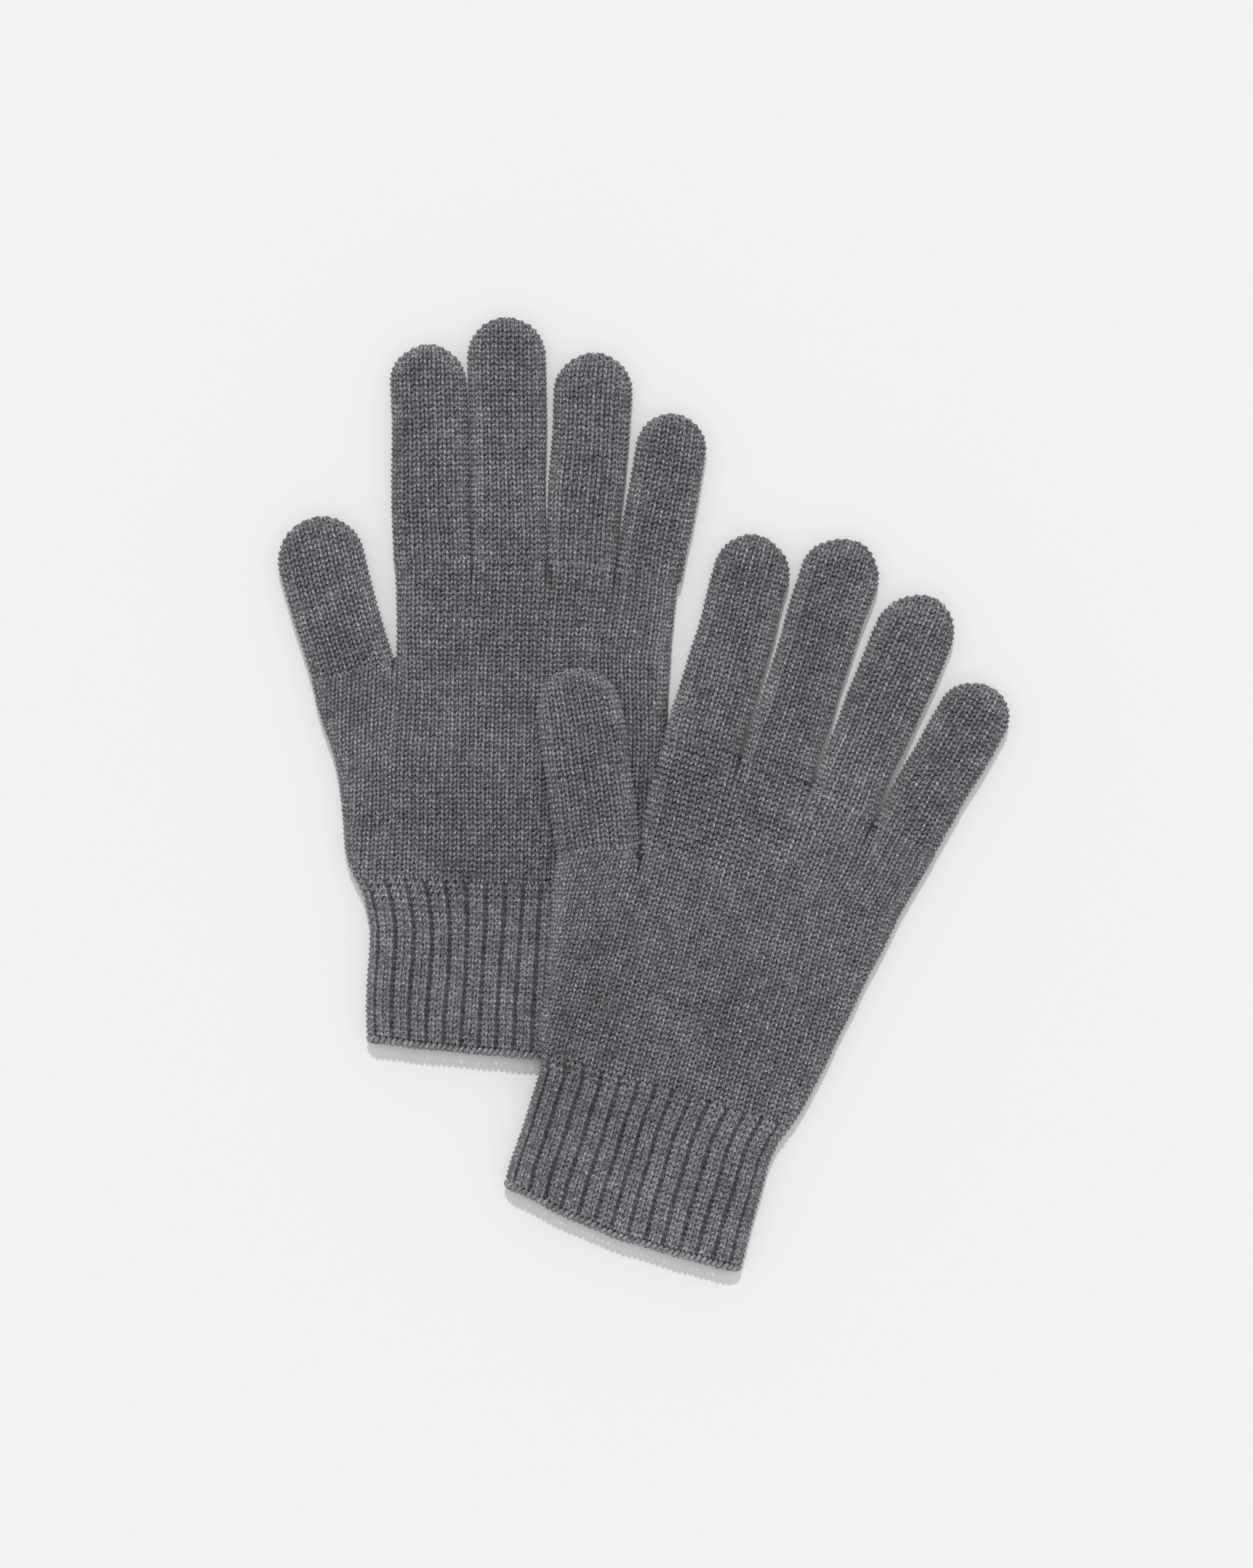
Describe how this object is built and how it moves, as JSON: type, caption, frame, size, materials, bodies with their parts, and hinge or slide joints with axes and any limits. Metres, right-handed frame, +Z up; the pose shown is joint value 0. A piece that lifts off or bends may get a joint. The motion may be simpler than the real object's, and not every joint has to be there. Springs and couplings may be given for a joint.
{
  "type": "knitted gloves",
  "caption": "Pair of knitted gloves lying flat, one over the edge of the other, with hollow fingers, hands and ribbed cuffs.",
  "frame": {"origin": "centre of the pair's footprint, on the surface that the gloves lie on", "axes": "+Y along the right glove towards its fingertips, +X towards its little finger, +Z up"},
  "size_m": [0.2386, 0.3116, 0.0175],
  "materials": {
    "jersey_knit": "heather grey plain knit wool",
    "rib_knit": "heather grey rib knit wool",
    "edge_yarn": "heather grey bound-off yarn",
    "closing_thread": "plied wool closing thread",
    "elastic": "covered elastic thread, matt"
  },
  "bodies": {
    "right_hand": {"right_lower_hand": "jersey_knit", "right_upper_hand": "jersey_knit", "right_crotch_threads": "closing_thread", "right_cuff": "rib_knit", "right_cuff_edge": "edge_yarn", "right_cuff_elastic": "elastic"},
    "right_thumb": {"right_thumb": "jersey_knit", "right_thumb_tip_thread": "closing_thread"},
    "right_index_finger": {"right_index_finger": "jersey_knit", "right_index_tip_thread": "closing_thread"},
    "right_middle_finger": {"right_middle_finger": "jersey_knit", "right_middle_tip_thread": "closing_thread"},
    "right_ring_finger": {"right_ring_finger": "jersey_knit", "right_ring_tip_thread": "closing_thread"},
    "right_little_finger": {"right_little_finger": "jersey_knit", "right_little_tip_thread": "closing_thread"},
    "left_hand": {"left_lower_hand": "jersey_knit", "left_upper_hand": "jersey_knit", "left_crotch_threads": "closing_thread"},
    "left_cuff": {"left_cuff": "rib_knit", "left_cuff_edge": "edge_yarn", "left_cuff_elastic": "elastic"},
    "left_thumb": {"left_thumb": "jersey_knit", "left_thumb_tip_thread": "closing_thread"},
    "left_index_finger": {"left_index_finger": "jersey_knit", "left_index_tip_thread": "closing_thread"},
    "left_middle_finger": {"left_middle_finger": "jersey_knit", "left_middle_tip_thread": "closing_thread"},
    "left_ring_finger": {"left_ring_finger": "jersey_knit", "left_ring_tip_thread": "closing_thread"},
    "left_little_finger": {"left_little_finger": "jersey_knit", "left_little_tip_thread": "closing_thread"}
  },
  "joints": [
    {"name": "right_thumb_bend", "type": "hinge", "parent": "right_hand", "child": "right_thumb", "pos_m": [-0.09468, 0.04051, 0.0086], "axis": [0.9613, 0.2756, 0], "range_deg": [0, 90]},
    {"name": "right_index_bend", "type": "hinge", "parent": "right_hand", "child": "right_index_finger", "pos_m": [-0.06851, 0.07727, 0.0086], "axis": [0.9997, 0.0262, 0], "range_deg": [0, 55]},
    {"name": "right_middle_bend", "type": "hinge", "parent": "right_hand", "child": "right_middle_finger", "pos_m": [-0.04361, 0.07726, 0.0086], "axis": [0.9999, 0.0105, 0], "range_deg": [0, 55]},
    {"name": "right_ring_bend", "type": "hinge", "parent": "right_hand", "child": "right_ring_finger", "pos_m": [-0.02016, 0.07539, 0.0086], "axis": [0.9974, -0.0715, 0], "range_deg": [0, 55]},
    {"name": "right_little_bend", "type": "hinge", "parent": "right_hand", "child": "right_little_finger", "pos_m": [0.00205, 0.07205, 0.0086], "axis": [0.9857, -0.1685, 0], "range_deg": [0, 55]},
    {"name": "left_glove_lift", "type": "slide", "parent": "right_hand", "child": "left_hand", "axis": [0, 0, 1], "range_m": [0, 0.08]},
    {"name": "left_wrist", "type": "hinge", "parent": "left_hand", "child": "left_cuff", "pos_m": [0.00541, -0.10114, 0.01756], "axis": [-0.9563, 0.2924, 0], "range_deg": [0, 90]},
    {"name": "left_thumb_bend", "type": "hinge", "parent": "left_hand", "child": "left_thumb", "pos_m": [-0.01435, -0.01719, 0.0176], "axis": [0.9903, 0.1392, 0], "range_deg": [0, 90]},
    {"name": "left_index_bend", "type": "hinge", "parent": "left_hand", "child": "left_index_finger", "pos_m": [0.01978, 0.01733, 0.01724], "axis": [0.9613, -0.2756, 0], "range_deg": [0, 55]},
    {"name": "left_middle_bend", "type": "hinge", "parent": "left_hand", "child": "left_middle_finger", "pos_m": [0.04328, 0.00805, 0.0086], "axis": [0.9494, -0.314, 0], "range_deg": [0, 55]},
    {"name": "left_ring_bend", "type": "hinge", "parent": "left_hand", "child": "left_ring_finger", "pos_m": [0.0649, -0.00295, 0.0086], "axis": [0.9184, -0.3955, 0], "range_deg": [0, 55]},
    {"name": "left_little_bend", "type": "hinge", "parent": "left_hand", "child": "left_little_finger", "pos_m": [0.08537, -0.01391, 0.0086], "axis": [0.8704, -0.4924, 0], "range_deg": [0, 55]}
  ]
}
